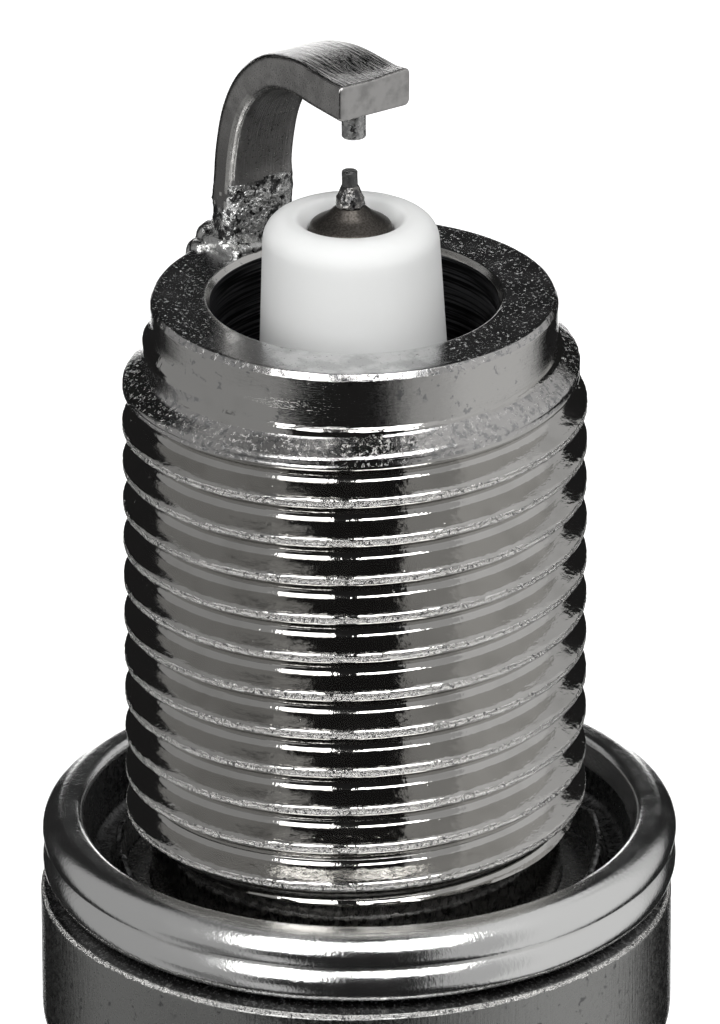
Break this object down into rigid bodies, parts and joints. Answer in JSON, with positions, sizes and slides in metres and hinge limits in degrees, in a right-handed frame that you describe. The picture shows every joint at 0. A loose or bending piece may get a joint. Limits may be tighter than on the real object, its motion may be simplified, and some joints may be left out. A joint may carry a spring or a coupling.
{
  "type": "spark plug",
  "caption": "Threaded ignition plug: ceramic insulator in a steel shell, fine centre tip facing a bent side electrode, folded crush gasket and screw-on terminal nut.",
  "frame": {"origin": "on the plug's axis, in the plane of the shell's gasket seat", "axes": "+Z along the axis towards the firing end; the leg of the ground electrode stands on the -X side; two wrench flats face +Y and -Y"},
  "size_m": [0.019, 0.0192, 0.0768],
  "materials": {
    "shell": "bright nickel plating over machined and rolled steel",
    "gasket": "satin plated sheet steel, folded",
    "insulator": "matt white alumina at the nose, glazed behind the crimp",
    "strap": "drawn nickel alloy, dull grey",
    "weld": "rough, sparkling weld metal",
    "electrode": "turned nickel alloy, brown-grey",
    "precious_tip": "cut iridium alloy, dark grey",
    "copper": "drawn copper",
    "sealing_glass": "dark conductive glass",
    "resistor": "matt black resistor glass",
    "packing": "soft steel wire and washer",
    "talc": "pressed talc powder",
    "terminal": "nickel-plated turned steel"
  },
  "bodies": {
    "plug": {"shell": "shell", "seat_packing": "packing", "insulator": "insulator", "lower_packing_ring": "packing", "talc_filling": "talc", "upper_packing_ring": "packing", "center_electrode": "electrode", "center_electrode_core": "copper", "tip_weld": "weld", "iridium_tip": "precious_tip", "lower_glass_seal": "sealing_glass", "resistor": "resistor", "upper_glass_seal": "sealing_glass", "terminal_stud": "terminal", "ground_electrode": "strap", "ground_electrode_weld": "weld", "ground_pin": "precious_tip", "ground_pin_weld": "weld"},
    "crush_gasket": {"gasket": "gasket"},
    "terminal": {"terminal_nut": "terminal"}
  },
  "joints": [
    {"name": "gasket_spin", "type": "hinge", "parent": "plug", "child": "crush_gasket", "pos_m": [0, 0, 0.001], "axis": [0, 0, 1], "continuous": true},
    {"name": "terminal_unscrew", "type": "slide", "parent": "plug", "child": "terminal", "axis": [0, 0, -1], "range_m": [0, 0.0085]}
  ]
}
